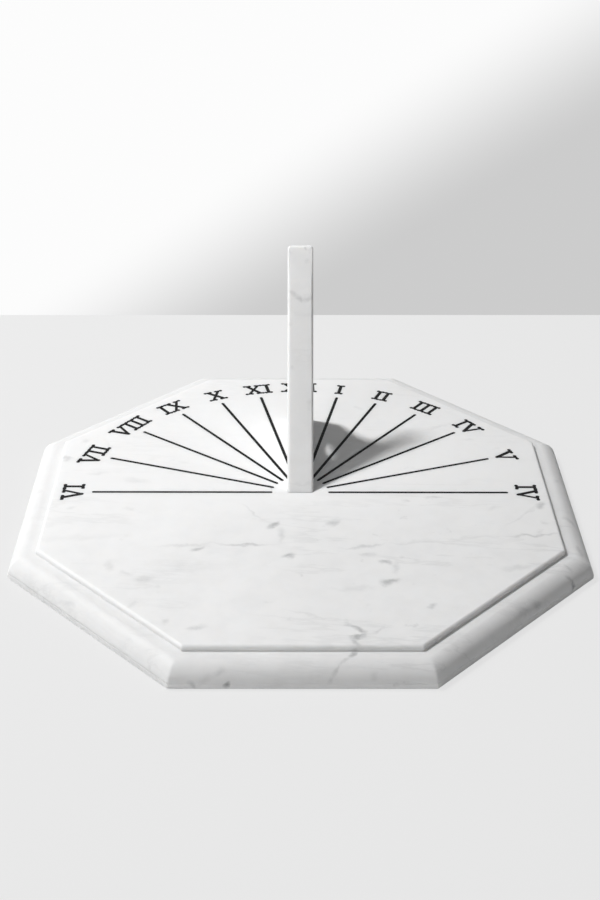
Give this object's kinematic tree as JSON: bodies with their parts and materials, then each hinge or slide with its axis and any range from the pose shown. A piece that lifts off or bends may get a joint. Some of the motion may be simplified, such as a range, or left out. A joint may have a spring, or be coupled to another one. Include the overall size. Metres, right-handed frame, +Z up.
{
  "type": "horizontal sundial",
  "caption": "Octagonal marble sundial with a moulded edge, an upright pierced marble gnomon, and hour lines and Roman numerals inlaid in black resin.",
  "frame": {"origin": "middle of the octagonal slab's underside, where the dial's centre stands above it", "axes": "+Z up from the underside, +Y north along the noon line towards XII, +X east towards the afternoon hours"},
  "size_m": [0.4204, 0.4204, 0.171],
  "materials": {
    "marble": "honed white marble with faint grey veins",
    "black_resin": "matt black epoxy filling, rubbed down just below the stone",
    "dowel_steel": "drawn stainless steel pin, hidden in the joint"
  },
  "bodies": {
    "root": {"base_slab": "marble", "gnomon": "marble", "front_dowel": "dowel_steel", "rear_dowel": "dowel_steel", "hour_line_6am": "black_resin", "hour_line_7am": "black_resin", "hour_line_8am": "black_resin", "hour_line_9am": "black_resin", "hour_line_10am": "black_resin", "hour_line_11am": "black_resin", "hour_line_noon": "black_resin", "hour_line_1pm": "black_resin", "hour_line_2pm": "black_resin", "hour_line_3pm": "black_resin", "hour_line_4pm": "black_resin", "hour_line_5pm": "black_resin", "hour_line_6pm": "black_resin", "numeral_6am": "black_resin", "numeral_7am": "black_resin", "numeral_8am": "black_resin", "numeral_9am": "black_resin", "numeral_10am": "black_resin", "numeral_11am": "black_resin", "numeral_noon": "black_resin", "numeral_1pm": "black_resin", "numeral_2pm": "black_resin", "numeral_3pm": "black_resin", "numeral_4pm": "black_resin", "numeral_5pm": "black_resin", "numeral_6pm": "black_resin"}
  },
  "joints": []
}
